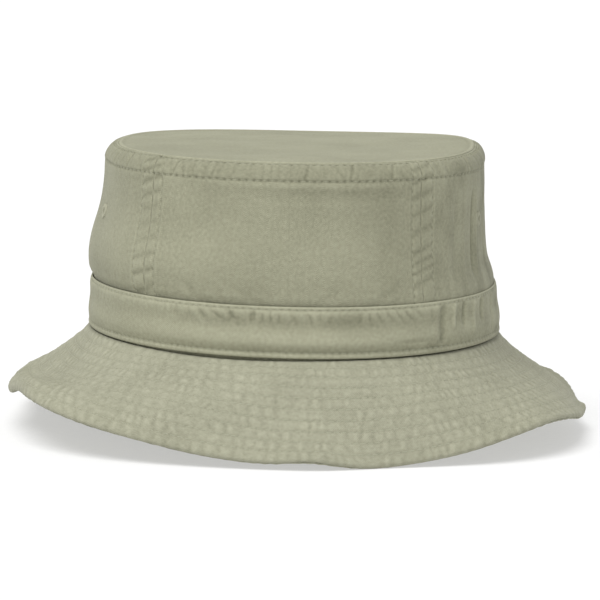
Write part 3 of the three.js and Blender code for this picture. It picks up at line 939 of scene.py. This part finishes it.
def brim(material, lining_material, stitch_material):
    """Two faces of cloth with a stiffening ply between them, quilted together with rows of stitches."""
    upper_lines, under_lines = [], []
    row_spacing, column_spacing = BRIM_GRID
    rows = stations(BRIM_WIDTH - BRIM_EDGE_RADIUS, row_spacing, BRIM_ROWS)
    inner_rows = rows[rows < INTERLINING_SHARE * BRIM_WIDTH][::2]
    for side, (start, end) in BRIM_HALVES.items():
        columns = columns_between(start + 0.01, end - 0.01, column_spacing)
        distance, bearing = grid(rows, columns)
        base = brim_points(columns, rows)
        normals = normals_of(base)
        reach = path_lengths(base, 1)
        shared = brim_crumple(bearing, distance)
        girth = girth_at(bearing)
        ends = np.minimum(girth - girth_at(start), girth_at(end) - girth)
        side_seam = groove(ends, 0.3, 0.5) + 0.12 * bump(ends, 3.5, 2.5)
        interlining = f"brim_interlining_{side}"

        relief = brim_quilting(bearing, distance, reach, 51) + side_seam
        points = base + normals * (shared + relief)[:, :, None]
        upper_lines += [row_line(points, 1, reach, rows, row) for row in BRIM_ROWS]
        # Painted shade at the brim's root, in the gap under the band, on top of the crease shade and wear.
        wear_and_shade = 1.4 * np.clip(wear_and_shade_of(relief), -0.5, 1) - smoothstep(2.2, 0.6, distance)
        brim_face(f"brim_upper_{side}", points, 1, wear_and_shade, material)

        inner_base = brim_points(columns[::2], inner_rows)
        inner_distance, inner_bearing = grid(inner_rows, columns[::2])
        inner_relief = brim_crumple(inner_bearing, inner_distance) - INTERLINING_DEPTH
        inner_points = inner_base + normals_of(inner_base) * inner_relief[:, :, None]
        unworn = np.zeros(inner_relief.shape)
        cloth(interlining + "_cloth", inner_points, unworn, INTERLINING_PLY, lining_material,
              interlining)

        relief = brim_quilting(bearing, distance, reach, 71) + side_seam
        points = base + normals * (shared - UNDER_BRIM_DEPTH - relief)[:, :, None]
        under_lines += [row_line(points, -1, reach, rows, row) for row in BRIM_ROWS]
        brim_face(f"brim_under_{side}", points, -1, wear_and_shade_of(relief), material)
    topstitching("topstitching_brim_upper", upper_lines, stitch_material)
    topstitching("topstitching_brim_under", under_lines, stitch_material)


def eyelets(material):
    """Air holes whose rims are covered with thread: wraps of thread side by side round a ring."""
    wraps = 34
    round_steps, section_steps = wraps * 4, 14
    girth_share = 0.94  # the wall's girth at the eyelets, over its girth at the seam
    turn = np.linspace(0, 2 * math.pi, round_steps, endpoint=False)[:, None]
    section = np.linspace(0, 2 * math.pi, section_steps, endpoint=False)[None, :]
    lobe = 0.16 * np.abs(np.sin(turn * wraps / 2))
    middle = (EYELET_OPEN_RADIUS + EYELET_RIM_RADIUS) / 2
    radius = middle + (EYELET_RIM_RADIUS - middle + lobe) * np.cos(section)
    lift = (0.75 + lobe) * np.sin(section) - 0.15
    across, up = radius * np.cos(turn), radius * np.sin(turn)
    index = np.arange(round_steps * section_steps).reshape(round_steps, section_steps)
    ahead, over = np.roll(index, -1, axis=0), np.roll(index, -1, axis=1)
    faces = np.stack([index, ahead, np.roll(ahead, -1, axis=1), over], -1).reshape(-1, 4)[:, ::-1]
    for number, centre in enumerate(EYELET_BEARINGS, 1):
        bearing = bearing_at(girth_at(centre) + across / girth_share)
        distance = distance_at(EYELET_HEIGHT) - up
        panel = next(panel for panel in PANELS.values() if panel[0] < centre < panel[1])
        stand = lift + wall_relief(np.full_like(bearing, centre), distance, *panel)
        height = height_at(distance)
        points = wall_surface(bearing, height)
        along = wall_surface(bearing + 0.1, height) - points
        down = wall_surface(bearing, height - 0.1) - points
        normal = np.cross(down, along)
        normal /= np.linalg.norm(normal, axis=-1, keepdims=True)
        points = points + normal * stand[:, :, None]
        obj = new_piece(f"eyelet_{number}_thread", points.reshape(-1, 3), faces.tolist())
        dress(obj, material, [f"eyelet_{number}"])


def inside_strip(node, columns, heights, depth, relief, thickness, material):
    """Cloth on the inner side of the crown wall, seen from inside."""
    base = wall_points(columns, heights)
    height, bearing = grid(heights, columns)
    inset = depth + relief - wall_slump(bearing, height)
    points = base - normals_of(base) * inset[:, :, None]
    wear_and_shade = wear_and_shade_of(relief)
    cloth(node + "_cloth", points, wear_and_shade, thickness, material, node, facing=-1)


def inner_pieces(tape_material, sweatband_material, label_material):
    """What is sewn to the inner side of the crown: the seams' tapes, the sweatband and a blank label."""
    half = girth_at(TAPE_HALF_WIDTH_DEGREES)
    for corner, centre in TAPE_BEARINGS.items():
        columns = bearing_at(girth_at(centre) + np.linspace(-half, half, 13))
        heights = np.linspace(63, 1, 90)
        height = grid(heights, columns)[0]
        relief = 0.5 + 0.08 * puckers(height * 3, 0 * height, 15, 81)
        inside_strip(f"seam_tape_{corner}", columns, heights, TAPE_DEPTH, relief, TAPE_PLY,
                     tape_material)

    columns = columns_between(ROUND_START, ROUND_END, 1.6)
    heights = height_at(np.linspace(2.4, distance_at(66.5), 12))
    bearing = grid(heights, columns)[1]
    relief = 0.5 + 0.08 * puckers(girth_at(bearing), 0 * bearing, 6, 83)
    inside_strip("seam_tape_top", columns, heights, TAPE_DEPTH, relief, TAPE_PLY, tape_material)

    columns = columns_between(ROUND_START, ROUND_END, 1.1)
    heights = np.linspace(SWEATBAND_HEIGHT, 0.3, 34)
    height, bearing = grid(heights, columns)
    girth = girth_at(bearing)
    relief = 0.95 + 0.1 * puckers(girth, height / 20, 8, 85) + 0.2 * crumple(girth, height, 22, 86)
    relief += groove(height - 2.5, 0.25) + groove(height - SWEATBAND_HEIGHT + 2, 0.25)
    inside_strip("sweatband", columns, heights, SWEATBAND_DEPTH, relief, SWEATBAND_PLY,
                 sweatband_material)

    columns = bearing_at(girth_at(180) + np.linspace(-13, 13, 40))
    heights = np.linspace(22, 6, 26)
    bearing = grid(heights, columns)[1]
    relief = 0.45 + 0.12 * np.cos(np.radians(bearing - 180) * 24)
    inside_strip("size_label", columns, heights, LABEL_DEPTH, relief, LABEL_PLY, label_material)


# ------------------------ camera, lights and floor

CAMERA_ELEVATION = 6.65
CAMERA_AZIMUTH = 2.57
CAMERA_ROLL = 1.03
CAMERA_DISTANCE = 1800.0
CAMERA_LENS = 251.07
CAMERA_TARGET = (2.44, 0.0, 10.99)
KEY_AZIMUTH = -28
KEY_ELEVATION = 63
KEY_SOFTNESS = 45
KEY_STRENGTH = 2.58
FILL_STRENGTH = 0.46


def towards(azimuth, elevation):
    """Direction from the hat: azimuth 0 is the front and 90 the wearer's left. Both are in degrees."""
    a, e = math.radians(azimuth), math.radians(elevation)
    return Vector((math.sin(a) * math.cos(e), -math.cos(a) * math.cos(e), math.sin(e)))


def add_camera():
    data = bpy.data.cameras.new("camera")
    data.sensor_width = 36
    data.lens = CAMERA_LENS
    data.clip_start, data.clip_end = 0.1, 50
    camera = add_object("camera", data)
    bpy.context.scene.camera = camera
    back = towards(CAMERA_AZIMUTH, CAMERA_ELEVATION)
    right = towards(CAMERA_AZIMUTH + 90, 0)
    up = back.cross(right)
    roll = math.radians(CAMERA_ROLL)
    x = math.cos(roll) * right + math.sin(roll) * up
    y = math.cos(roll) * up - math.sin(roll) * right
    target = (Vector(CAMERA_TARGET) + Vector(ORIGIN)) * MM
    turn = Matrix((x, y, back)).transposed().to_4x4()
    camera.matrix_world = Matrix.Translation(target + back * CAMERA_DISTANCE * MM) @ turn


def add_key_light():
    """Even light from one side, as from a very large softbox."""
    data = bpy.data.lights.new("key", "SUN")
    data.angle = math.radians(KEY_SOFTNESS)
    data.energy = KEY_STRENGTH
    light = add_object("key", data)
    light.rotation_mode = "QUATERNION"
    light.rotation_quaternion = (-towards(KEY_AZIMUTH, KEY_ELEVATION)).to_track_quat("-Z", "Y")


def add_floor():
    """White paper on the floor, in metres, which curves up all round well away from the hat."""
    floor_radius, bend_radius, wall_height, sides = 5.0, 1.0, 1.3, 96
    bend = [math.radians(angle) for angle in range(0, 91, 6)]
    profile = [(0.0, 0.0), (1.0, 0.0)]
    profile += [(floor_radius + bend_radius * math.sin(t), bend_radius * (1 - math.cos(t))) for t in bend]
    profile.append((floor_radius + bend_radius, wall_height))
    mesh = bmesh.new()
    corners = [mesh.verts.new((radius, 0, cad_box[0][2] + z)) for radius, z in profile]
    edges = [mesh.edges.new(pair) for pair in zip(corners, corners[1:])]
    whole_turn = {"axis": (0, 0, 1), "cent": (0, 0, 0), "angle": 2 * math.pi}
    bmesh.ops.spin(mesh, geom=corners + edges, steps=sides, **whole_turn)
    bmesh.ops.remove_doubles(mesh, verts=mesh.verts, dist=0.0001)
    bmesh.ops.recalc_face_normals(mesh, faces=mesh.faces)
    paper = bpy.data.meshes.new("studio_paper")
    mesh.to_mesh(paper)
    mesh.free()
    paper.polygons.foreach_set("use_smooth", np.ones(len(paper.polygons), bool))
    paper.materials.append(translucent_paper("studio_paper", *STUDIO_PAPER, PAPER_GLOW))
    add_object("studio_paper", paper)


def light_scene():
    """Plain white light from all round, and a soft key light from above on the wearer's right."""
    world = bpy.data.worlds.new("studio")
    bpy.context.scene.world = world
    world.use_nodes = True
    background = world.node_tree.nodes["Background"]
    background.inputs["Color"].default_value = (1, 1, 1, 1)
    background.inputs["Strength"].default_value = FILL_STRENGTH
    add_key_light()
    bpy.context.scene.view_settings.view_transform = "Standard"


# ------------------------ the whole scene

shaded_crown_material = twill("washed_twill_crown_shaded", *SHADED_CROWN_COTTON)
brim_material = twill("washed_twill_brim", *BRIM_COTTON)
stitch_material = thread("topstitch_thread", *CROWN_THREAD)
crown_panels(shaded_crown_material, stitch_material)
crown_top(shaded_crown_material)
hat_band(shaded_crown_material, stitch_material)
brim(
    brim_material,
    felted("interlining_felt", *INTERLINING_FELT),
    thread("topstitch_thread_brim_lit", *LIT_BRIM_THREAD),
)
eyelets(thread("eyelet_thread", *EYELET_THREAD))
inner_pieces(
    herringbone("seam_tape_herringbone", *TAPE_COTTON),
    plain_weave("sweatband_weave", *SWEATBAND_COTTON, pitch=0.9, depth=0.06),
    plain_weave("label_satin", *LABEL_SATIN, pitch=0.5, depth=0.03, roughness=0.5),
)
add_camera()
add_floor()
light_scene()
